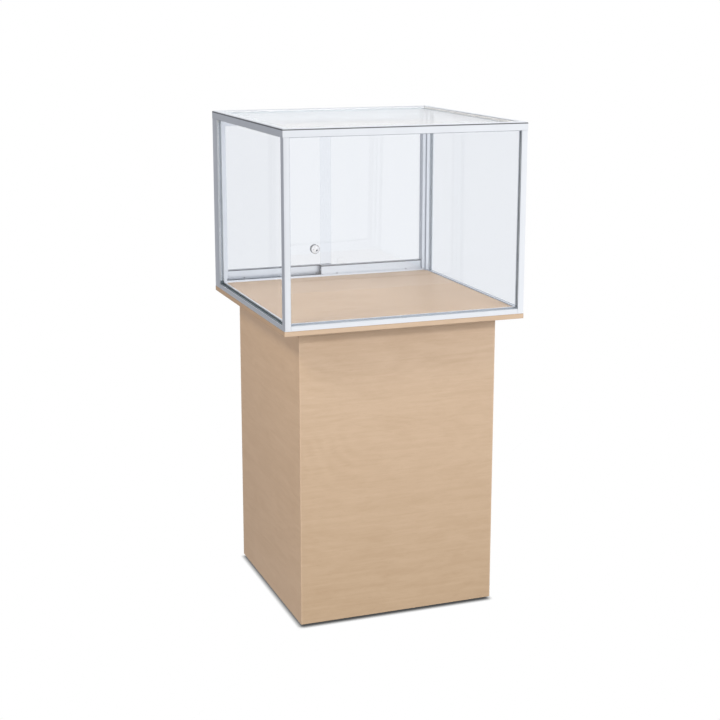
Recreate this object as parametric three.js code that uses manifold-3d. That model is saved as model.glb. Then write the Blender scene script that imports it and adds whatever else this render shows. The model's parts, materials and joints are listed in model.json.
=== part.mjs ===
// Museum pedestal case: a square maple-laminate plinth carrying an aluminium-framed glass case.
// Millimetres, +Z up, front face towards -Y, sliding doors in the rear (+Y) side.
// The origin is on the floor, under the centre of the case.
import * as THREE from 'three';
import { mergeVertices } from 'three/addons/utils/BufferGeometryUtils.js';
import Module from 'manifold-3d';

const wasm = await Module();
wasm.setup();

// ---- Driving dimensions -------------------------------------------------------------------
const CASE_W = 610;          // width and depth of the case frame and of the deck board
const CASE_H = 464;          // frame height above the deck board
const PLINTH_W = 508;        // width and depth of the plinth
const PLINTH_H = 736;
const DECK_T = 12;
const GLIDE_H = 7;           // gap between the floor and the plinth
const PANEL_T = 16;          // laminated board
const FIT = 0.3;             // clearance between pieces that touch
const RUN_FIT = 0.1;         // radial clearance of a turning or sliding fit

const BAR = 16;              // face width of the frame's bars
const TOP_RAIL_H = 20;
const REAR_POST_W = 20;
const REAR_POST_D = 46;      // deep enough to hold both door tracks
const LIP = 1.8;             // outer wall of a glazing slot
const WALL = 2.2;            // wall outside a bar's hollow
const SLOT_END = 11.2;       // inner side of a glazing slot, from the bar's outer face
const SLOT_DEPTH = 3.5;
const HOLLOW_END = 10.5;     // inner side of a bar's hollow, from the bar's outer face
const SILL_LIP_H = 11.7;     // bottom rail: outer lip, slot floor and inner lip above the deck
const SILL_SLOT_H = 8.2;
const SILL_H = 15.2;

const GLASS_T = 5;
const GLASS_SET = 4.5;       // outer face of the glass, from the bar's outer face
const GLASS_BITE = 2;        // how far a pane reaches into its slot
const GASKET_PROUD = 1.2;    // rubber showing past the bar
const GASKET_OUT = 2.2;      // rubber wall outside the glass
const GASKET_IN = 1.2;       // rubber wall inside the glass
const GASKET_GAP = 0.2;

const FLOOR_T = 12.7;        // display floor board inside the case
const TRACK_FRONT = 266.3;   // front lip of the lower track, along Y
const TRACK_REAR = 304;
const INNER_DOOR_Y = 277;    // mid planes of the two door glasses
const OUTER_DOOR_Y = 294;
const DOOR_LAP = 18;         // each door passes the centre line by this much
const DOOR_STOP_X = 274.5;   // closed edge of each door, from the centre line
const DOOR_TOP_Z = 1190;
const JAMB_W = 10;
const SHOE_T = 14;
const SHOE_BOTTOM_Z = 771.5;
const SHOE_H = 25.5;
const WHEEL_R = 5;
const WHEEL_INSET = 45;      // wheel centre from the end of its shoe
const AXLE_R = 1.5;

const LOCK_X = -29;
const LOCK_Z = 840;
const LOCK_R = 9.5;          // barrel through the glass
const LOCK_FLANGE_R = 12.5;
const PLUNGER_R = 6;
const PLUG_R = 3.7;

// ---- Levels and half widths worked out from them --------------------------------------------
const HALF = CASE_W / 2;
const PLINTH_HALF = PLINTH_W / 2;
const PLINTH_TOP = GLIDE_H + PLINTH_H;
const DECK_TOP = PLINTH_TOP + DECK_T;
const CASE_TOP = DECK_TOP + CASE_H;
const SILL_Z = DECK_TOP + FIT;
const RAIL_Z = CASE_TOP - TOP_RAIL_H;
const BAY = HALF - BAR;                         // inner face of a front bar
const REAR_BAY = HALF - REAR_POST_D;            // front face of a rear post
const DOOR_BAY = HALF - REAR_POST_W;            // inner side of a rear post
const SHOE_TOP_Z = SHOE_BOTTOM_Z + SHOE_H;
const WHEEL_Z = SHOE_BOTTOM_Z + 2.6;
const GLASS_EDGE = BAY + GLASS_BITE;            // edge of a pane, from the centre
const SEAL_EDGE = BAY + SLOT_DEPTH - FIT;       // outer edge of a gasket ring
const SEAL_OPEN = BAY - GASKET_PROUD;           // clear opening of a gasket ring

const ROUND = 32;            // facets round a turned piece
const PIN_FACETS = 16;

// ---- Finishes -------------------------------------------------------------------------------
const finish = (color, roughness, metalness, extra = {}) =>
  () => new THREE.MeshStandardMaterial({ color, roughness, metalness, ...extra });
const MAPLE = finish(0xcdb092, 0.5, 0);
const BOARD = finish(0xb89c78, 0.8, 0);
const TIMBER = finish(0xd8bf98, 0.7, 0);
const ALUMINIUM = finish(0xd9dbe0, 0.35, 1);
const ZINC = finish(0x9a9da3, 0.5, 1);
const GLASS = finish(0xe6f0f2, 0.05, 0, { transparent: true, opacity: 0.25 });
const RUBBER = finish(0x1f2328, 0.7, 0);
const NYLON = finish(0x34373a, 0.55, 0);
const STEEL = finish(0xb7bac0, 0.3, 1);
const CHROME = finish(0xe4e6ea, 0.12, 1);

// ---- Geometry helpers -------------------------------------------------------------------------
const model = new THREE.Group();

function place(name, geometry, material, turn = 0) {
  const mesh = new THREE.Mesh(geometry, material());
  mesh.name = name;
  mesh.rotation.z = turn;
  model.add(mesh);
}

// Box from its lowest to its highest corner.
function box(low, high) {
  const size = high.map((value, axis) => value - low[axis]);
  const middle = high.map((value, axis) => (value + low[axis]) / 2);
  return new THREE.BoxGeometry(...size).translate(...middle);
}

const rectangle = (x0, y0, x1, y1) =>
  [[x0, y0], [x1, y0], [x1, y1], [x0, y1]].map(([x, y]) => new THREE.Vector2(x, y));

// Outline with a rounded first corner at (0, 0); the other corners follow it anticlockwise.
function roundedOutline(radius, corners) {
  const steps = 6;
  const arc = Array.from({ length: steps + 1 }, (_, i) => {
    const angle = Math.PI + (i / steps) * Math.PI / 2;
    return new THREE.Vector2(radius + radius * Math.cos(angle), radius + radius * Math.sin(angle));
  });
  return [...arc, ...corners.map(([x, y]) => new THREE.Vector2(x, y))];
}

// Prism of an outline with hollows, from z = 0 to z = length. A mirrored outline is wound back.
function prism(outline, hollows, length, map = (point) => point) {
  const wound = (points) => {
    const mapped = points.map(map);
    return THREE.ShapeUtils.isClockWise(mapped) ? mapped.reverse() : mapped;
  };
  const shape = new THREE.Shape(wound(outline));
  shape.holes = hollows.map((hollow) => new THREE.Path(wound(hollow)));
  return new THREE.ExtrudeGeometry(shape, { depth: length, bevelEnabled: false, steps: 1 });
}

// Turns a prism so that its outline's x runs along +Y, its y along +Z and its length along +X.
const alongX = (geometry) => geometry.applyMatrix4(new THREE.Matrix4().makeBasis(
  new THREE.Vector3(0, 1, 0), new THREE.Vector3(0, 0, 1), new THREE.Vector3(1, 0, 0)));

// Turned piece about the Y axis, from pairs of radius and distance along the axis.
const turned = (profile, facets = ROUND) =>
  new THREE.LatheGeometry(profile.map(([r, y]) => new THREE.Vector2(r, y)), facets);

// Ring of rectangular section about the Y axis.
const ring = (inner, outer, y0, y1, facets = ROUND) =>
  turned([[inner, y0], [outer, y0], [outer, y1], [inner, y1], [inner, y0]], facets);

function toSolid(geometry) {
  const bare = geometry.clone();
  bare.deleteAttribute('normal');
  bare.deleteAttribute('uv');
  const merged = mergeVertices(bare, 1e-4);
  return new wasm.Manifold(new wasm.Mesh({
    numProp: 3,
    vertProperties: new Float32Array(merged.attributes.position.array),
    triVerts: new Uint32Array(merged.index.array),
  }));
}

function toGeometry(solid) {
  const mesh = solid.getMesh();
  const geometry = new THREE.BufferGeometry();
  geometry.setAttribute('position', new THREE.BufferAttribute(mesh.vertProperties, 3));
  geometry.setIndex(new THREE.BufferAttribute(mesh.triVerts, 1));
  return geometry;
}

const cut = (geometry, ...tools) =>
  toGeometry(tools.reduce((solid, tool) => solid.subtract(toSolid(tool)), toSolid(geometry)));

const join = (...geometries) =>
  toGeometry(geometries.map(toSolid).reduce((solid, part) => solid.add(part)));

const CORNERS = [['front_left', -1, -1], ['front_right', 1, -1], ['rear_left', -1, 1], ['rear_right', 1, 1]];
const QUARTER = Math.PI / 2;

// ---- Plinth -------------------------------------------------------------------------------------
// Four walls mitred at the corners, with a base board and a top board between them.
function plinth() {
  const mitreGap = 0.2;
  const outer = PLINTH_HALF;
  const inner = PLINTH_HALF - PANEL_T;
  const wall = [[-outer + mitreGap, -outer], [outer - mitreGap, -outer],
    [inner - mitreGap, -inner], [-inner + mitreGap, -inner]].map(([x, y]) => new THREE.Vector2(x, y));
  ['front', 'right', 'rear', 'left'].forEach((side, turn) => {
    const panel = prism(wall, [], PLINTH_H - FIT).translate(0, 0, GLIDE_H);
    place(`plinth_${side}_panel`, panel, MAPLE, turn * QUARTER);
  });

  const reach = inner - FIT;
  const stemR = 4;
  const glideInset = PLINTH_HALF - 50;
  const baseTop = GLIDE_H + PANEL_T;
  const upright = new THREE.Matrix4().makeRotationX(QUARTER);
  const stemHoles = CORNERS.map(([, sx, sy]) =>
    new THREE.CylinderGeometry(stemR + 0.4, stemR + 0.4, PANEL_T * 2, PIN_FACETS)
      .applyMatrix4(upright).translate(sx * glideInset, sy * glideInset, baseTop));
  const base = box([-reach, -reach, GLIDE_H], [reach, reach, baseTop]);
  place('plinth_base_board', cut(base, ...stemHoles), BOARD);
  const topBoardZ = PLINTH_TOP - FIT - PANEL_T;
  place('plinth_top_board', box([-reach, -reach, topBoardZ], [reach, reach, PLINTH_TOP - FIT]), BOARD);

  const block = 22;
  CORNERS.forEach(([corner, sx, sy]) => {
    const near = reach - block;
    const low = [Math.min(sx * near, sx * reach), Math.min(sy * near, sy * reach), baseTop + FIT];
    const high = [Math.max(sx * near, sx * reach), Math.max(sy * near, sy * reach), topBoardZ - FIT];
    place(`corner_block_${corner}`, box(low, high), TIMBER);

    const footR = 16;
    const glide = turned([[0, 0], [footR - 1, 0], [footR, 1], [footR, 5], [footR - 3, GLIDE_H - FIT],
      [stemR, GLIDE_H - FIT], [stemR, baseTop + 6], [0, baseTop + 6]]);
    glide.applyMatrix4(upright).translate(sx * glideInset, sy * glideInset, 0);
    place(`floor_glide_${corner}`, glide, NYLON);
  });
}

// ---- Boards under and inside the case ---------------------------------------------------------
function boards() {
  place('deck_board', box([-HALF, -HALF, PLINTH_TOP], [HALF, HALF, DECK_TOP]), MAPLE);
  // The display floor fills the space between the bottom rails, and is notched round the rear posts.
  const reach = BAY - FIT;
  const floor = box([-reach, -reach, SILL_Z], [reach, TRACK_FRONT - FIT, SILL_Z + FLOOR_T]);
  const notches = [-1, 1].map((side) => {
    const xs = [side * (DOOR_BAY - FIT), side * HALF].sort((a, b) => a - b);
    return box([xs[0], REAR_BAY - FIT, DECK_TOP], [xs[1], HALF, SILL_Z + SILL_H + FLOOR_T]);
  });
  place('display_floor', cut(floor, ...notches), MAPLE);
}

// ---- Aluminium frame ----------------------------------------------------------------------------
function posts() {
  const edge = 2.5;
  const slotIn = BAR - SLOT_DEPTH;
  const front = roundedOutline(edge, [
    [BAR, 0], [BAR, LIP], [slotIn, LIP], [slotIn, SLOT_END], [BAR, SLOT_END],
    [BAR, BAR], [SLOT_END, BAR], [SLOT_END, slotIn], [LIP, slotIn], [LIP, BAR], [0, BAR]]);
  const keyHollow = rectangle(WALL, WALL, HOLLOW_END, HOLLOW_END);

  // Rear posts: one glazing slot in front, and a fine groove down the outer side.
  const d = REAR_POST_D;
  const grooveY = d - 9.5;
  const groove = 0.9;
  const rear = roundedOutline(edge, [
    [REAR_POST_W, 0], [REAR_POST_W, d], [SLOT_END, d], [SLOT_END, d - SLOT_DEPTH],
    [LIP, d - SLOT_DEPTH], [LIP, d], [0, d], [0, grooveY + groove], [groove, grooveY], [0, grooveY - groove]]);
  const bodyHollow = rectangle(WALL, HOLLOW_END + WALL, REAR_POST_W - WALL, d - SLOT_DEPTH - WALL);

  const height = RAIL_Z - FIT - SILL_Z;
  CORNERS.forEach(([corner, sx, sy]) => {
    const toPlan = (p) => new THREE.Vector2(sx * (HALF - p.x), sy * (HALF - p.y));
    const atRear = sy > 0;
    const hollows = atRear ? [keyHollow, bodyHollow] : [keyHollow];
    const post = prism(atRear ? rear : front, hollows, height, toPlan).translate(0, 0, SILL_Z);
    place(`post_${corner}`, post, ALUMINIUM);
  });
}

function bottomRails() {
  const sill = [[0, 0], [BAR, 0], [BAR, SILL_H], [SLOT_END, SILL_H], [SLOT_END, SILL_SLOT_H],
    [LIP, SILL_SLOT_H], [LIP, SILL_LIP_H], [0, SILL_LIP_H]].map(([x, y]) => new THREE.Vector2(x, y));
  const hollow = rectangle(WALL, WALL, BAR - WALL, SILL_SLOT_H - 1.8);
  const rail = (from, to) =>
    alongX(prism(sill, [hollow], to - from)).translate(from, -HALF, SILL_Z);
  const frontEnd = BAY - FIT;
  const rearEnd = REAR_BAY - FIT;
  place('bottom_rail_front', rail(-frontEnd, frontEnd), ALUMINIUM);
  place('bottom_rail_right', rail(-frontEnd, rearEnd), ALUMINIUM, QUARTER);
  place('bottom_rail_left', rail(-rearEnd, frontEnd), ALUMINIUM, -QUARTER);

  // The rear sill is a low box under the door track.
  const sillH = 8.7;
  const depth = HALF - TRACK_FRONT;
  const bed = prism(rectangle(0, 0, depth, sillH),
    [rectangle(WALL, WALL, depth - WALL, sillH - WALL)], 2 * (DOOR_BAY - FIT));
  place('bottom_rail_rear', alongX(bed).translate(-DOOR_BAY + FIT, TRACK_FRONT, SILL_Z), ALUMINIUM);
}

// Top rails are mitred: each end is sheared by the distance from the rail's outer face.
function topRails() {
  const edge = 4;
  const slotIn = BAR - SLOT_DEPTH;
  const downSlot = TOP_RAIL_H - SLOT_DEPTH;
  const upper = [[0, TOP_RAIL_H], [LIP, TOP_RAIL_H], [LIP, downSlot], [SLOT_END, downSlot],
    [SLOT_END, TOP_RAIL_H], [BAR, TOP_RAIL_H]];
  const inner = [[BAR, SLOT_END], [slotIn, SLOT_END], [slotIn, LIP], [BAR, LIP], [BAR, 0]];
  const glazed = roundedOutline(edge, [...upper, ...inner].reverse());
  const plain = roundedOutline(edge, [[0, TOP_RAIL_H], [BAR, TOP_RAIL_H], ...inner].reverse());
  const hollow = rectangle(WALL, WALL, HOLLOW_END, TOP_RAIL_H - SLOT_DEPTH - 3);
  const down = (p) => new THREE.Vector2(p.x, -p.y);
  const mitreGap = 0.2;

  const keyHoles = [-1, 1].map((side) => {
    const xs = [side * (HALF - HOLLOW_END), side * (HALF - WALL)].sort((a, b) => a - b);
    return box([xs[0], WALL - HALF, RAIL_Z - 1], [xs[1], HOLLOW_END - HALF, CASE_TOP - 13]);
  });
  ['front', 'right', 'rear', 'left'].forEach((side, turn) => {
    const bar = prism(side === 'rear' ? plain : glazed, [hollow], CASE_W, down);
    const position = bar.attributes.position;
    for (let i = 0; i < position.count; i += 1) {
      const inset = position.getX(i) + mitreGap;
      const atStart = position.getZ(i) < HALF;
      position.setZ(i, atStart ? inset : CASE_W - inset);
    }
    alongX(bar).translate(-HALF, -HALF, CASE_TOP);
    place(`top_rail_${side}`, cut(bar, ...keyHoles), ALUMINIUM, turn * QUARTER);
  });
}

// Three-way corner keys: two legs inside the top rails and one down inside the post.
function cornerKeys() {
  const slack = 0.4;
  const leg = 42;
  const near = WALL + slack;
  const far = HOLLOW_END - slack;
  const low = CASE_TOP - (TOP_RAIL_H - SLOT_DEPTH - 3) + slack;
  const high = CASE_TOP - WALL - slack;
  CORNERS.forEach(([corner, sx, sy]) => {
    const legBox = (reachX, reachY, z0, z1) => {
      const xs = [sx * (HALF - near), sx * (HALF - reachX)].sort((a, b) => a - b);
      const ys = [sy * (HALF - near), sy * (HALF - reachY)].sort((a, b) => a - b);
      return box([xs[0], ys[0], z0], [xs[1], ys[1], z1]);
    };
    const key = join(legBox(leg, far, low, high), legBox(far, leg, low, high), legBox(far, far, RAIL_Z - leg, high));
    place(`corner_key_${corner}`, key, ZINC);
  });
}

// ---- Glazing ----------------------------------------------------------------------------------
// A pane and the channel gasket round it. Both are drawn lying flat, with the outer face up,
// then stood up by the given matrix.
function glaze(name, x0, x1, y0, y1, stand) {
  const outer = -GLASS_SET;
  const grow = (by, low, high) => [[x0 - by, y0 - by, low], [x1 + by, y1 + by, high]];
  const seal = SEAL_EDGE - GLASS_EDGE;
  const open = SEAL_OPEN - GLASS_EDGE;
  const pane = box([x0, y0, outer - GLASS_T], [x1, y1, outer]);
  const rubber = box(...grow(seal, outer - GLASS_T - GASKET_IN - GASKET_GAP, outer + GASKET_OUT + GASKET_GAP));
  const window_ = box(...grow(open, outer - 2 * GLASS_T, outer + GLASS_T));
  const groove = box(...grow(GASKET_GAP, outer - GLASS_T - GASKET_GAP, outer + GASKET_GAP));
  place(`pane_${name}`, pane.applyMatrix4(stand), GLASS);
  place(`gasket_${name}`, cut(rubber, window_, groove).applyMatrix4(stand), RUBBER);
}

function glazing() {
  const glassLow = SILL_Z + SILL_SLOT_H + (SLOT_DEPTH - GLASS_BITE);
  const glassHigh = RAIL_Z + GLASS_BITE;
  const rearEdge = REAR_BAY + GLASS_BITE;
  const side = (ex, ez, offset) => new THREE.Matrix4()
    .makeBasis(new THREE.Vector3(...ex), new THREE.Vector3(0, 0, 1), new THREE.Vector3(...ez))
    .setPosition(...offset);
  glaze('front', -GLASS_EDGE, GLASS_EDGE, glassLow, glassHigh, side([1, 0, 0], [0, -1, 0], [0, -HALF, 0]));
  glaze('right', -GLASS_EDGE, rearEdge, glassLow, glassHigh, side([0, 1, 0], [1, 0, 0], [HALF, 0, 0]));
  glaze('left', -rearEdge, GLASS_EDGE, glassLow, glassHigh, side([0, -1, 0], [-1, 0, 0], [-HALF, 0, 0]));
  glaze('top', -GLASS_EDGE, GLASS_EDGE, -GLASS_EDGE, GLASS_EDGE,
    new THREE.Matrix4().makeTranslation(0, 0, CASE_TOP));
}

// ---- Door tracks and jambs -------------------------------------------------------------------
function tracks() {
  const length = 2 * (DOOR_BAY - FIT);
  const baseT = 2;
  const lipT = 1.5;
  const lipH = 8.7;
  const ribH = 4.5;
  const depth = TRACK_REAR - TRACK_FRONT;
  const trackZ = SILL_Z + 9;
  const ribs = [INNER_DOOR_Y, OUTER_DOOR_Y].flatMap((y) => {
    const at = y - TRACK_FRONT;
    return [[at - 1.5, baseT], [at - 1.5, ribH], [at + 1.5, ribH], [at + 1.5, baseT]];
  });
  const lower = [[lipT, lipH], [lipT, baseT], ...ribs, [depth - lipT, baseT], [depth - lipT, lipH],
    [depth, lipH], [depth, 0], [0, 0], [0, lipH]].map(([x, y]) => new THREE.Vector2(x, y));
  place('lower_track', alongX(prism(lower, [], length)).translate(-DOOR_BAY + FIT, TRACK_FRONT, trackZ),
    ALUMINIUM);

  // The upper track hangs under the rear top rail: two grooves take the tops of the door glasses.
  const front = 262;
  const height = 17.7;
  const grooveW = 8;
  const grooveTop = 14;
  const span = TRACK_REAR - front;
  const grooves = [OUTER_DOOR_Y, INNER_DOOR_Y].flatMap((y) => {
    const at = y - front;
    return [[at + grooveW / 2, 0], [at + grooveW / 2, grooveTop], [at - grooveW / 2, grooveTop],
      [at - grooveW / 2, 0]];
  });
  const upper = [[0, 0], [0, height], [span, height], [span, 0], ...grooves]
    .map(([x, y]) => new THREE.Vector2(x, y));
  const skin = 1.6;
  const innerGroove = INNER_DOOR_Y - grooveW / 2 - front;
  const hollow = rectangle(skin, skin, innerGroove - skin, height - skin);
  place('upper_track', alongX(prism(upper, [hollow], length)).translate(-DOOR_BAY + FIT, front, RAIL_Z - FIT - height),
    ALUMINIUM);

  // A jamb closes the end of each groove: the outer door's on the left, the inner door's on the right.
  const jambLow = trackZ + lipH + FIT;
  const jambH = RAIL_Z - FIT - height - FIT - jambLow;
  const jamb = (name, x0, y0, y1) => {
    const outline = rectangle(x0, y0, x0 + JAMB_W - FIT, y1);
    const inside = rectangle(x0 + skin, y0 + skin, x0 + JAMB_W - FIT - skin, y1 - skin);
    place(name, prism(outline, [inside], jambH).translate(0, 0, jambLow), ALUMINIUM);
  };
  const between = (INNER_DOOR_Y + OUTER_DOOR_Y) / 2;
  jamb('jamb_left', -DOOR_BAY + FIT, between + FIT, TRACK_REAR);
  jamb('jamb_right', DOOR_BAY - JAMB_W, front + 2, between - FIT);
}

// ---- Sliding doors ------------------------------------------------------------------------------
// Each door is a glass in an aluminium shoe, and the shoe runs on two nylon wheels.
function door(name, x0, x1, y, glassHoles) {
  const web = 10.5;
  const webT = 4;
  const slotW = GLASS_T + 2 * FIT;
  const cavity = SHOE_T - 5;
  const half = SHOE_T / 2;
  const section = [[-half, 0], [-cavity / 2, 0], [-cavity / 2, web], [cavity / 2, web], [cavity / 2, 0],
    [half, 0], [half, SHOE_H], [slotW / 2, SHOE_H], [slotW / 2, web + webT], [-slotW / 2, web + webT],
    [-slotW / 2, SHOE_H], [-half, SHOE_H]].map(([u, v]) => new THREE.Vector2(u, v));
  const shoe = alongX(prism(section, [], x1 - x0)).translate(x0, y, SHOE_BOTTOM_Z);
  const wheelXs = { left: x0 + WHEEL_INSET, right: x1 - WHEEL_INSET };
  const pinHoles = Object.values(wheelXs).map((x) =>
    new THREE.CylinderGeometry(AXLE_R + FIT, AXLE_R + FIT, SHOE_T * 2, PIN_FACETS).translate(x, y, WHEEL_Z));
  place(`${name}_shoe`, cut(shoe, ...pinHoles), ALUMINIUM);

  const glass = box([x0, y - GLASS_T / 2, SHOE_BOTTOM_Z + web + webT + FIT], [x1, y + GLASS_T / 2, DOOR_TOP_Z]);
  place(`${name}_glass`, glassHoles.length ? cut(glass, ...glassHoles) : glass, GLASS);

  const wheelW = 5;
  Object.entries(wheelXs).forEach(([end, x]) => {
    const wheel = ring(AXLE_R + RUN_FIT, WHEEL_R, -wheelW / 2, wheelW / 2);
    place(`${name}_wheel_${end}`, wheel.translate(x, y, WHEEL_Z), NYLON);
    const axle = new THREE.CylinderGeometry(AXLE_R, AXLE_R, SHOE_T - 0.4, PIN_FACETS);
    place(`${name}_axle_${end}`, axle.translate(x, y, WHEEL_Z), STEEL);
  });
}

function doors() {
  const lockHole = new THREE.CylinderGeometry(LOCK_R + FIT, LOCK_R + FIT, 4 * GLASS_T, ROUND)
    .translate(LOCK_X, OUTER_DOOR_Y, LOCK_Z);
  door('left_door', -DOOR_STOP_X, DOOR_LAP, OUTER_DOOR_Y, [lockHole]);
  door('right_door', -DOOR_LAP, DOOR_STOP_X, INNER_DOOR_Y, []);
}

// ---- Plunger lock through the left door's glass -----------------------------------------------
function lock() {
  const glassIn = OUTER_DOOR_Y - GLASS_T / 2;
  const glassOut = OUTER_DOOR_Y + GLASS_T / 2;
  const nutT = 3;
  const flangeT = 1.6;
  const innerEnd = glassIn - FIT - nutT;
  const flangeY = glassOut + FIT;
  const bore = PLUNGER_R + RUN_FIT;
  const body = turned([[bore, innerEnd], [LOCK_R, innerEnd], [LOCK_R, flangeY], [LOCK_FLANGE_R, flangeY],
    [LOCK_FLANGE_R - 0.8, flangeY + flangeT], [bore, flangeY + flangeT], [bore, innerEnd]]);
  const at = (geometry) => geometry.translate(LOCK_X, 0, LOCK_Z);
  place('lock_body', at(body), CHROME);
  place('lock_nut', at(ring(LOCK_R + FIT, LOCK_FLANGE_R, innerEnd, glassIn - FIT)), CHROME);

  // The push cylinder carries the plunger tip inside and the key plug outside.
  const outerEnd = HALF - 0.3;
  const tipR = 4.5;
  const tipY = innerEnd - 2;
  const plugDeep = 8;
  const socket = PLUG_R + RUN_FIT;
  const plunger = turned([[0, tipY], [tipR, tipY], [tipR, innerEnd + 1], [PLUNGER_R, innerEnd + 1],
    [PLUNGER_R, outerEnd], [socket, outerEnd], [socket, outerEnd - plugDeep], [0, outerEnd - plugDeep]]);
  place('lock_plunger', at(plunger), CHROME);
  const plug = turned([[0, outerEnd - plugDeep + FIT], [PLUG_R, outerEnd - plugDeep + FIT],
    [PLUG_R, outerEnd - 0.3], [0, outerEnd - 0.3]]);
  const keyway = box([-0.7, outerEnd - 6, -2.4], [0.7, outerEnd + 1, 2.4]);
  place('lock_key_plug', at(cut(plug, keyway)), STEEL);
}

plinth();
boards();
posts();
bottomRails();
topRails();
cornerKeys();
glazing();
tracks();
doors();
lock();

export default model;
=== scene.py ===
# Museum pedestal case: looks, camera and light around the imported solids. Metres, +Z up, front towards -Y.
import json
import math

import bpy
from mathutils import Matrix, Vector


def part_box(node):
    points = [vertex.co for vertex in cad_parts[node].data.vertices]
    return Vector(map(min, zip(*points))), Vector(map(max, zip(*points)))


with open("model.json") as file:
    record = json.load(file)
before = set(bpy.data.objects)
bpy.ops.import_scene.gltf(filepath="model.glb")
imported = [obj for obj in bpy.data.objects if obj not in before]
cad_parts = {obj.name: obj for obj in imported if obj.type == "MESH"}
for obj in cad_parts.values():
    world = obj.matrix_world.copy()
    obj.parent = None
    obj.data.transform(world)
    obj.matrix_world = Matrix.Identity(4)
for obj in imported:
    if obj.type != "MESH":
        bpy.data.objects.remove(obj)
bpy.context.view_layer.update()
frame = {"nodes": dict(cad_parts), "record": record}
NODES = frame["nodes"]
SLOT_OF = {p["node"]: p["material_slot"] for p in frame["record"]["subparts"]}
DECK_LOW, DECK_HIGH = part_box("deck_board")
PLINTH_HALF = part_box("plinth_front_panel")[1].x
CASE_HALF, CASE_TOP = -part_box("top_rail_front")[0].y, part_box("top_rail_front")[1].z
RAIL_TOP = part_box("bottom_rail_left")[1].z
SHOE_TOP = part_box("left_door_shoe")[1].z
LOCK_LOW, LOCK_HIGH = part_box("lock_body")
LOCK_AT = ((LOCK_LOW.x + LOCK_HIGH.x) / 2, (LOCK_LOW.z + LOCK_HIGH.z) / 2)

# Colours, as linear red, green and blue.
MAPLE_LIGHT, MAPLE_DARK = (0.632, 0.478, 0.350), (0.495, 0.353, 0.237)
PLAIN = (1.0, 1.0, 1.0)
# Painted shade: the display floor inside the case is a darker copy of the same maple.
DISPLAY_FLOOR_SHADE = (0.73, 0.71, 0.68)
# Painted side shade for maple faces that look along X: on the deck's edges and on the other boards' sides.
DECK_SIDE_SHADE = (0.74, 0.69, 0.64)
SIDE_PANEL_SHADE = (1.0, 0.965, 0.94)
# Painted shade: the plinth grows darker towards its foot.
PLINTH_FOOT_SHADE = (0.855, 0.815, 0.735)
ALUMINIUM = (0.945, 0.965, 0.995)
GLASS_TINT = (0.932, 0.945, 0.966)
GLASS_EDGE = (0.40, 0.60, 0.58)
COATED = (0.93, 0.93, 0.25)  # how low-glare the glass facing along X, Y and Z is: the top is nearly plain

# Details that the materials draw.
FRAME_DARK_REFLECTION = 0.0045  # height of the painted dark reflection along the frame's outer top edge
SHOE_TOP_LINE = 0.0028  # height of the dark line along the top of a door shoe
GASKET_SHADE_HEIGHT = 0.003  # the left gasket takes painted shade up to this height above the bottom rail, where its lowest run sits in the rail's shadow
LOCK_GROOVE_SHADE = 0.0110  # radius of the groove round the lock's face, drawn as a ring of painted shade
LOCK_PIN_SHADE = (0.0040, -0.0034)  # the pin hole in the lock's face, drawn as a spot of painted shade, from its middle
PLINTH_FADE = 0.74  # height at which the plinth's painted shade towards its foot has faded out
FIGURE_MEAN = 0.18  # the average of the fine wood figure

BEVEL_MM = {
    "maple_laminate": 0.7, "raw_board": 0.5, "softwood": 1.5, "nylon": 0.6, "anodised_aluminium": 0.35,
    "clear_glass": 0.6, "gasket_rubber": 0.25, "cast_key": 0.6, "wheel_nylon": 0.4, "axle_steel": 0.3,
    "lock_chrome": 0.35, "key_plug_steel": 0.2}
WOODEN = ("maple_laminate", "raw_board", "softwood")

FLOOR_REACH = 60.0
CONTACT_REACH = 0.013  # how far the painted contact shadow round the plinth's foot spreads over the floor
CONTACT_DEPTH = 2.2
FLOOR_BOUNCE = 0.50  # light that the floor sends back to the case
WALL_DARK, WALL_BRIGHT = (0.35, 0.36, 0.39), (1.01, 1.02, 1.04)
LAMP_AIM = (0.0, 0.0, 0.75)
WARM = (1.0, 0.91, 0.73)

LENS_MM, SENSOR_MM = 72.884, 36.0
LENS_SHIFT = (-0.00813, -0.04722)
CAMERA_AT = (-1.28091, -3.42020, 1.48724)
CAMERA_TURNS = (("Z", -20.6708), ("X", 77.5926), ("Z", 0.1036))  # heading, tilt and roll, in degrees


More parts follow.
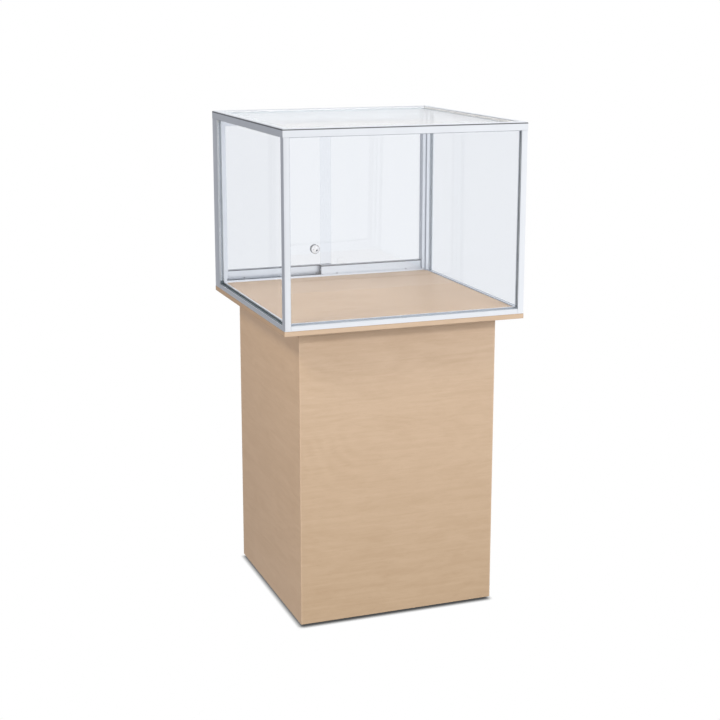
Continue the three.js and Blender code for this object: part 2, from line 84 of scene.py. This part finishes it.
# ---- Node and colour helpers ---------------------------------------------------------------------
class Tree:
    """A material's or a world's node tree, with short ways to add and join nodes."""

    def __init__(self, owner):
        owner.use_nodes = True
        self.tree = owner.node_tree
        self.tree.nodes.clear()

    def add(self, kind, inputs=None, **settings):
        node = self.tree.nodes.new(kind)
        for key, value in settings.items():
            setattr(node, key, value)
        for key, value in (inputs or {}).items():
            self.set(node.inputs[key], value)
        return node

    def set(self, socket, value):
        if isinstance(value, bpy.types.NodeSocket):
            self.tree.links.new(value, socket)
        else:
            socket.default_value = value

    def math(self, operation, a, b=0.0, c=0.0, clamp=False):
        node = self.add("ShaderNodeMath", {0: a, 1: b, 2: c}, operation=operation, use_clamp=clamp)
        return node.outputs[0]

    def choose(self, switch, off, on):
        """One of two values, by a switch that is 0 or 1."""
        kept = self.math("MULTIPLY", off, self.math("SUBTRACT", 1.0, switch))
        return self.math("ADD", kept, self.math("MULTIPLY", on, switch))

    def layered(self, value, *layers):
        """The value with weighted layers added."""
        for layer, weight in layers:
            value = self.math("MULTIPLY_ADD", layer, weight, value)
        return value

    def distance(self, a, b):
        """The length of the vector with sides a and b."""
        return self.math("SQRT", self.math("ADD", self.math("MULTIPLY", a, a), self.math("MULTIPLY", b, b)))

    def vector(self, x, y, z):
        return self.add("ShaderNodeCombineXYZ", {0: x, 1: y, 2: z}).outputs[0]

    def noise(self, vector, scale, detail=2.0, roughness=0.5, distortion=0.0):
        node = self.add("ShaderNodeTexNoise", {
            "Vector": vector, "Scale": scale, "Detail": detail, "Roughness": roughness,
            "Distortion": distortion})
        return node.outputs["Fac"]

    def ramp(self, value, low, high, out_low=0.0, out_high=1.0, smooth=True):
        node = self.add("ShaderNodeMapRange", {
            0: value, 1: low, 2: high, 3: out_low, 4: out_high},
            interpolation_type="SMOOTHSTEP" if smooth else "LINEAR")
        return node.outputs[0]

    def mix(self, factor, a, b, blend="MIX"):
        node = self.add("ShaderNodeMix", {0: factor, 6: a, 7: b}, data_type="RGBA", blend_type=blend)
        return node.outputs[2]

    def bump(self, height, distance, strength):
        return self.add("ShaderNodeBump", {
            "Height": height, "Distance": distance, "Strength": strength}).outputs[0]

    def point(self):
        """The surface point at rest, in the frame that every piece shares."""
        return self.add("ShaderNodeTexCoord").outputs["Object"]

    def position(self):
        """The surface point at rest, as its X, Y and Z."""
        return self.add("ShaderNodeSeparateXYZ", {0: self.point()}).outputs

    def facing(self):
        """How far the face looks along X, Y and Z, each from 0 to 1."""
        normal = self.add("ShaderNodeTexCoord").outputs["Normal"]
        return [self.math("ABSOLUTE", s) for s in self.add("ShaderNodeSeparateXYZ", {0: normal}).outputs]


def material(name):
    """A new material, its tree, and the socket that takes the finished shader."""
    made = bpy.data.materials.new(name)
    tree = Tree(made)
    output = tree.add("ShaderNodeOutputMaterial")
    return made, tree, output.inputs["Surface"]


def rgba(colour):
    return (*colour, 1.0)


def tinted(colour, by):
    return tuple(c * k for c, k in zip(colour, by))


def shaded(colour, factor):
    return tuple(c * factor for c in colour)


# ---- Materials -----------------------------------------------------------------------------------
def maple(name, seed, tint, side_shade, seams=(), panel_half=None):
    """Maple-figured laminate. The grain runs level on upright faces, and along X on flat ones. Faces that
    look along X take a painted side shade. Plinth panels also take a painted shade towards the foot and a
    painted highlight along their upright edges.
    """
    light, dark = tinted(MAPLE_LIGHT, tint), tinted(MAPLE_DARK, tint)
    made, t, surface = material(name)
    x, y, z = t.position()
    facing_x, _, facing_z = t.facing()
    side = t.math("GREATER_THAN", facing_x, 0.5)
    flat = t.math("GREATER_THAN", facing_z, 0.5)
    along, across = t.choose(side, x, y), t.choose(flat, z, y)
    shift = t.math("MULTIPLY_ADD", side, 3.7, seed)

    def grain(stretch, squeeze, **options):
        vector = t.vector(t.math("MULTIPLY", along, stretch), t.math("MULTIPLY", across, squeeze), shift)
        return t.noise(vector, 1.0, **options)

    # Cathedral figure: contour lines of a slow field, which show only in some patches.
    field = grain(1.05, 3.3, detail=1.5, distortion=0.3)
    waver = grain(6.0, 30.0, detail=2.0)
    phase = t.math("ADD", t.math("MULTIPLY", field, 230.0), t.math("MULTIPLY", waver, 8.0))
    rings = t.math("MULTIPLY_ADD", t.math("SINE", phase), 0.5, 0.5)
    patches = t.ramp(grain(2.2, 5.5, detail=3.0, roughness=0.6), 0.44, 0.66)
    drift = t.ramp(grain(0.9, 3.0, detail=1.0), 0.30, 0.70)
    mottle = t.ramp(grain(9.0, 34.0, detail=4.0, roughness=0.65, distortion=0.8), 0.34, 0.66)
    curl = t.ramp(grain(19.0, 62.0, detail=3.0, roughness=0.6, distortion=1.4), 0.36, 0.64)
    lines = t.ramp(grain(3.6, 150.0, detail=3.0, roughness=0.62), 0.32, 0.68)
    fibre = grain(9.0, 430.0, detail=3.0, roughness=0.6)
    flecks = t.ramp(grain(60.0, 800.0, detail=1.0), 0.66, 0.74)

    # Faces that look along X show half as much of the fine figure as the others do.
    figure = t.math("MULTIPLY", rings, t.math("MULTIPLY_ADD", patches, 0.16, 0.03))
    figure = t.layered(figure, (curl, 0.09), (lines, 0.15))
    share = t.math("MULTIPLY_ADD", side, -0.5, 1.0)
    tone = t.math("MULTIPLY_ADD", t.math("SUBTRACT", figure, FIGURE_MEAN), share, FIGURE_MEAN)
    tone = t.layered(tone, (drift, 0.14), (mottle, 0.20), (fibre, 0.22))
    colour = t.mix(t.math("ADD", tone, 0.0, clamp=True), rgba(light), rgba(dark))
    colour = t.mix(t.math("MULTIPLY", flecks, 0.18), colour, rgba(shaded(dark, 0.72)))
    for level in seams:
        seam = t.ramp(t.math("ABSOLUTE", t.math("SUBTRACT", z, level)), 0.0006, 0.0014, 0.5, 0.0)
        upright = t.math("SUBTRACT", 1.0, flat)
        colour = t.mix(t.math("MULTIPLY", seam, upright), colour, rgba(tinted(dark, (0.5, 0.45, 0.4))))
    # Painted side shade: faces that look along X are multiplied by a darker, warmer tint.
    colour = t.mix(side, colour, rgba(side_shade), "MULTIPLY")
    if panel_half:
        # Painted shade, darker towards the plinth's foot, and much weaker on faces that look along X.
        low = t.ramp(z, 0.0, PLINTH_FADE, 1.0, 0.0, smooth=False)
        low = t.math("MULTIPLY", low, t.math("MULTIPLY_ADD", side, -0.8, 1.0))
        colour = t.mix(low, colour, rgba(PLINTH_FOOT_SHADE), "MULTIPLY")
        # Painted highlight: a lighter line along the plinth panels' upright edges.
        edge = t.ramp(t.math("ABSOLUTE", along), panel_half - 0.0036, panel_half - 0.0024, 0.0, 0.25)
        colour = t.mix(edge, colour, rgba(shaded(light, 1.14)))
    shader = t.add("ShaderNodeBsdfPrincipled", {
        "Base Color": colour,
        "Roughness": t.math("MULTIPLY_ADD", fibre, 0.14, 0.35),
        "Specular IOR Level": 0.35,
        "Normal": t.bump(t.math("ADD", fibre, flecks), 0.00006, 0.5)})
    t.set(surface, shader.outputs[0])
    return made


def timber(name, light, dark, scale):
    """Raw board or timber: chips and coarse fibre."""
    made, t, surface = material(name)
    place = t.point()
    chips = t.add("ShaderNodeTexVoronoi", {"Vector": place, "Scale": scale}).outputs["Color"]
    shade = t.add("ShaderNodeSeparateColor", {0: chips}).outputs[0]
    fine = t.noise(place, scale * 3.0, detail=4.0)
    tone = t.math("MULTIPLY_ADD", shade, 0.5, t.math("MULTIPLY", fine, 0.5))
    shader = t.add("ShaderNodeBsdfPrincipled", {
        "Base Color": t.mix(tone, rgba(light), rgba(dark)),
        "Roughness": t.math("MULTIPLY_ADD", fine, 0.2, 0.65),
        "Normal": t.bump(tone, 0.0004, 0.6)})
    t.set(surface, shader.outputs[0])
    return made


def drawn_metal(name, axis, colour, roughness, dark_line_above=None, dark_line_beyond=0.0):
    """Metal with the faint lines of drawing it along one axis. An optional dark line is on upright faces,
    above one height and beyond one distance from the middle. On the case frame it is a painted dark
    reflection along the outer top edge."""
    made, t, surface = material(name)
    place = list(t.position())
    stretched = [t.math("MULTIPLY", s, 6.0 if i == axis else 1500.0) for i, s in enumerate(place)]
    lines = t.noise(t.vector(*stretched), 1.0, detail=2.0)
    cloud = t.noise(t.point(), 22.0, detail=3.0)
    wear = t.math("MULTIPLY_ADD", lines, 0.6, t.math("MULTIPLY", cloud, 0.4))
    base = t.mix(wear, rgba(colour), rgba(shaded(colour, 0.9)))
    # Painted dark reflection on the case frame's outer top edge. The door shoes take the same dark line along
    # their top.
    if dark_line_above:
        upright = t.math("LESS_THAN", t.facing()[2], 0.5)
        reach = t.math("MAXIMUM", t.math("ABSOLUTE", place[0]), t.math("ABSOLUTE", place[1]))
        outer = t.math("MULTIPLY", upright, t.math("GREATER_THAN", reach, dark_line_beyond))
        seam = t.math("MULTIPLY", t.math("GREATER_THAN", place[2], dark_line_above), outer)
        base = t.mix(t.math("MULTIPLY", seam, 0.9), base, rgba((0.10, 0.10, 0.11)))
    shader = t.add("ShaderNodeBsdfPrincipled", {
        "Base Color": base,
        "Roughness": t.math("MULTIPLY_ADD", wear, 0.2, roughness - 0.1),
        "Metallic": 1.0,
        "Normal": t.bump(lines, 0.00002, 0.35)})
    t.set(surface, shader.outputs[0])
    return made


def turned_metal(name, centre, colour, roughness, groove=None, pin=None):
    """Turned metal with fine rings about a line along Y, and an optional groove and pin hole drawn as painted
    shade.
    """
    made, t, surface = material(name)
    x, y, z = t.position()
    dx, dz = t.math("SUBTRACT", x, centre[0]), t.math("SUBTRACT", z, centre[1])
    radius = t.distance(dx, dz)
    rings = t.noise(t.vector(t.math("MULTIPLY", radius, 2600.0), t.math("MULTIPLY", y, 900.0), 0.0), 1.0)
    wear = t.noise(t.point(), 160.0, detail=4.0)
    base = t.mix(wear, rgba(colour), rgba(shaded(colour, 0.9)))
    # Painted shade of a groove and of a pin hole.
    if groove:
        base = t.mix(t.ramp(radius, groove, groove + 0.0006), base, rgba((0.13, 0.135, 0.15)))
    if pin:
        apart = t.distance(t.math("SUBTRACT", dx, pin[0]), t.math("SUBTRACT", dz, pin[1]))
        base = t.mix(t.ramp(apart, 0.0022, 0.0030, 1.0, 0.0), base, rgba((0.08, 0.08, 0.09)))
    shader = t.add("ShaderNodeBsdfPrincipled", {
        "Base Color": base,
        "Roughness": t.layered(roughness - 0.1, (wear, 0.08), (rings, 0.12)),
        "Metallic": 0.45,
        "Normal": t.bump(rings, 0.00001, 0.3)})
    t.set(surface, shader.outputs[0])
    return made


def moulded(name, colour, roughness, grain, dark_below=None):
    """Rubber or moulded plastic with a fine matt grain, optionally with painted shade below a height."""
    made, t, surface = material(name)
    place = t.point()
    pits = t.noise(place, grain, detail=3.0, roughness=0.65)
    bloom = t.noise(place, grain / 40.0, detail=3.0)
    base = t.mix(bloom, rgba(colour), rgba(c * 1.15 + 0.01 for c in colour))
    # Painted shade: darker below the given height.
    if dark_below:
        low = t.ramp(t.position()[2], dark_below, dark_below + 0.004, 1.0, 0.0)
        base = t.mix(low, base, rgba(tinted(colour, (0.24, 0.28, 0.29))))
    shader = t.add("ShaderNodeBsdfPrincipled", {
        "Base Color": base,
        "Roughness": t.math("MULTIPLY_ADD", bloom, 0.2, roughness - 0.1),
        "Normal": t.bump(pits, 0.00005, 0.4)})
    t.set(surface, shader.outputs[0])
    return made


def pane_glass(name, axis, tint, coated):
    """Float glass that faces along one axis. Its ground edges are frosted and greener than its two faces. The
    coated share is seen straight through, without a reflection. Light and shadow pass all of it that way."""
    made, t, surface = material(name)
    edge = t.ramp(t.facing()[axis], 0.55, 0.75, 1.0, 0.0)
    film = t.noise(t.point(), 5.0, detail=3.0)
    face = t.mix(film, rgba(tint), rgba(shaded(tint, 0.992)))
    shader = t.add("ShaderNodeBsdfPrincipled", {
        "Base Color": t.mix(edge, face, rgba(GLASS_EDGE)),
        "Roughness": t.math("MULTIPLY", edge, 0.35),
        "IOR": 1.5,
        "Transmission Weight": 1.0})
    # A ray passes both faces of a pane, so each takes the square root of the tint.
    clear = t.add("ShaderNodeBsdfTransparent", {0: rgba(c ** 0.5 for c in tint)}).outputs[0]
    rays = t.add("ShaderNodeLightPath").outputs
    seen = shader.outputs[0]
    for share in (coated, rays["Is Shadow Ray"], rays["Is Diffuse Ray"]):
        seen = t.add("ShaderNodeMixShader", {0: share, 1: seen, 2: clear}).outputs[0]
    t.set(surface, seen)
    return made


def case_metal(axis):
    name = f"satin_aluminium_{'xyz'[axis]}"
    return drawn_metal(name, axis, ALUMINIUM, 0.38, CASE_TOP - FRAME_DARK_REFLECTION, CASE_HALF - 0.001)


def case_glass(axis):
    return pane_glass(f"float_glass_{'xyz'[axis]}", axis, GLASS_TINT, COATED[axis])


def laminate(name):
    """The maple laminate of one board. The length of the board's name picks its stretch of the figure."""
    is_deck = name == "deck_board"
    return maple(
        f"maple_{name}", len(name) * 1.7,
        tint=DISPLAY_FLOOR_SHADE if name == "display_floor" else PLAIN,
        side_shade=DECK_SIDE_SHADE if is_deck else SIDE_PANEL_SHADE,
        seams=(DECK_LOW.z, DECK_HIGH.z) if is_deck else (),
        panel_half=PLINTH_HALF if name.startswith("plinth") else None)


SHARED = {
    "raw_board": timber("particle_board", (0.50, 0.36, 0.22), (0.33, 0.22, 0.12), 420.0),
    "softwood": timber("planed_timber", (0.68, 0.50, 0.30), (0.55, 0.38, 0.21), 160.0),
    "nylon": moulded("dark_nylon", (0.035, 0.037, 0.04), 0.55, 1800.0),
    "wheel_nylon": moulded("white_nylon", (0.62, 0.62, 0.60), 0.40, 1800.0),
    "gasket_rubber": moulded("grey_glazing_rubber", (0.35, 0.38, 0.42), 0.55, 2200.0),
    "cast_key": drawn_metal("cast_alloy", 2, (0.50, 0.50, 0.52), 0.50),
    "axle_steel": drawn_metal("ground_steel", 1, (0.58, 0.58, 0.60), 0.25),
    "lock_chrome": turned_metal(
        "lock_chrome_plate", LOCK_AT, (0.96, 0.965, 0.975), 0.28, LOCK_GROOVE_SHADE, LOCK_PIN_SHADE),
    "key_plug_steel": turned_metal("key_plug_face", LOCK_AT, (0.55, 0.55, 0.57), 0.34),
}
CASE_METALS = [case_metal(axis) for axis in range(3)]
CASE_GLASSES = [case_glass(axis) for axis in range(3)]
SHOE_METAL = drawn_metal("shoe_aluminium", 0, ALUMINIUM, 0.38, SHOE_TOP - SHOE_TOP_LINE)
OWN = {
    "left_door_shoe": SHOE_METAL,
    "right_door_shoe": SHOE_METAL,
    "gasket_left": moulded(
        "side_glazing_rubber", (0.42, 0.45, 0.49), 0.55, 2200.0, RAIL_TOP + GASKET_SHADE_HEIGHT),
    "gasket_top": moulded("pale_glazing_rubber", (0.76, 0.78, 0.81), 0.55, 2200.0),
}


# ---- Dressing the CAD nodes ----------------------------------------------------------------------
def material_for(name, slot):
    """A node's material. A bar takes metal drawn along its length, and a pane the glass facing its way."""
    low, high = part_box(name)
    size = high - low
    if name in OWN:
        return OWN[name]
    if slot == "maple_laminate":
        return laminate(name)
    if slot == "clear_glass":
        return CASE_GLASSES[min(range(3), key=lambda axis: size[axis])]
    if slot == "anodised_aluminium":
        return CASE_METALS[max(range(3), key=lambda axis: size[axis])]
    return SHARED[slot]


def soften(node, width):
    """Smooth shading and rounded edges. The node's own vertices stay as they are."""
    mesh = node.data
    for layer in ("custom_normal", "sharp_edge"):
        if layer in mesh.attributes:
            mesh.attributes.remove(mesh.attributes[layer])
    mesh.polygons.foreach_set("use_smooth", [True] * len(mesh.polygons))
    weld = node.modifiers.new("weld", "WELD")
    weld.merge_threshold = 0.00001
    merge = node.modifiers.new("merge_flats", "DECIMATE")
    merge.decimate_type = "DISSOLVE"
    merge.angle_limit = math.radians(1.0)
    bevel = node.modifiers.new("soften_edges", "BEVEL")
    bevel.width = width
    bevel.segments = 2
    bevel.limit_method = "ANGLE"
    bevel.angle_limit = math.radians(35.0)
    bevel.harden_normals = True


def dress(name, node):
    slot = SLOT_OF[name]
    node.data.materials.clear()
    node.data.materials.append(material_for(name, slot))
    soften(node, BEVEL_MM[slot] / 1000.0)
    node.visible_glossy = slot not in WOODEN  # so that metal and glass don't take on the wood's colour


for node_name, cad_node in NODES.items():
    dress(node_name, cad_node)


# ---- Floor, light and camera ---------------------------------------------------------------------
def build_floor():
    """A self-lit white floor, with a painted contact shadow from ambient occlusion where the plinth's foot
    almost touches it.
    """
    mesh = bpy.data.meshes.new("studio_floor")
    corners = [(-1, -1), (1, -1), (1, 1), (-1, 1)]
    mesh.from_pydata([(x * FLOOR_REACH, y * FLOOR_REACH, 0) for x, y in corners], [], [(0, 1, 2, 3)])
    floor = bpy.data.objects.new("studio_floor", mesh)
    bpy.context.scene.collection.objects.link(floor)
    made, t, surface = material("white_studio_floor")
    contact = t.add("ShaderNodeAmbientOcclusion", {"Distance": CONTACT_REACH}, samples=16)
    shade = t.math("POWER", contact.outputs["AO"], CONTACT_DEPTH)
    bright = t.add("ShaderNodeEmission", {"Color": shade, "Strength": 1.0})
    bounce = t.add("ShaderNodeEmission", {"Color": rgba(PLAIN), "Strength": FLOOR_BOUNCE})
    rays = t.add("ShaderNodeLightPath").outputs
    mixed = t.add("ShaderNodeMixShader", {
        0: rays["Is Diffuse Ray"], 1: bright.outputs[0], 2: bounce.outputs[0]})
    t.set(surface, mixed.outputs[0])
    mesh.materials.append(made)
    floor.visible_glossy = False


def build_world():
    """Studio walls, grey on the left and white on the right. The camera sees white paper instead of them."""
    world = bpy.data.worlds.new("studio")
    bpy.context.scene.world = world
    t = Tree(world)
    output = t.add("ShaderNodeOutputWorld")
    direction = t.add("ShaderNodeTexCoord").outputs["Generated"]
    x = t.add("ShaderNodeSeparateXYZ", {0: direction}).outputs[0]
    sweep = t.mix(t.ramp(x, -0.28, 0.16), rgba(WALL_DARK), rgba(WALL_BRIGHT))
    studio = t.add("ShaderNodeBackground", {"Color": sweep, "Strength": 1.0})
    paper = t.add("ShaderNodeBackground", {"Color": rgba(PLAIN), "Strength": 1.0})
    rays = t.add("ShaderNodeLightPath").outputs
    seen = t.math("MAXIMUM", rays["Is Camera Ray"], rays["Is Transmission Ray"])
    mixed = t.add("ShaderNodeMixShader", {0: seen, 1: studio.outputs[0], 2: paper.outputs[0]})
    t.set(output.inputs["Surface"], mixed.outputs[0])


def softbox(name, place, size, power, colour=PLAIN):
    """A square lamp that lights the case. Reflections show the studio walls instead of the lamps."""
    data = bpy.data.lights.new(name, "AREA")
    data.shape, data.size, data.energy, data.color = "SQUARE", size, power, colour
    lamp = bpy.data.objects.new(name, data)
    lamp.location = place
    lamp.rotation_euler = (Vector(LAMP_AIM) - Vector(place)).to_track_quat("-Z", "Y").to_euler()
    lamp.visible_camera = lamp.visible_glossy = lamp.visible_transmission = False
    bpy.context.scene.collection.objects.link(lamp)


def build_camera():
    data = bpy.data.cameras.new("camera")
    data.lens, data.sensor_width = LENS_MM, SENSOR_MM
    data.shift_x, data.shift_y = LENS_SHIFT
    data.clip_start, data.clip_end = 0.1, 200.0
    camera = bpy.data.objects.new("camera", data)
    place = Matrix.Translation(CAMERA_AT)
    for axis, degrees in CAMERA_TURNS:
        place = place @ Matrix.Rotation(math.radians(degrees), 4, axis)
    camera.matrix_world = place
    bpy.context.scene.collection.objects.link(camera)
    bpy.context.scene.camera = camera


build_floor()
build_world()
softbox("key", (1.3, -3.3, 2.45), 0.45, 46.0)
softbox("front", (1.3, -3.3, 1.5), 0.9, 23.0)
softbox("high_fill", (-2.0, -1.0, 2.8), 0.6, 34.0, WARM)
softbox("low_fill", (-3.2, -1.0, 1.3), 0.9, 27.0, WARM)
softbox("overhead", (0.2, 0.0, 3.6), 2.2, 46.0)
softbox("rear", (0.8, 3.3, 1.8), 1.6, 50.0)
softbox("right", (3.3, 0.4, 1.7), 1.6, 30.0)
build_camera()
bpy.context.scene.view_settings.view_transform = "Standard"
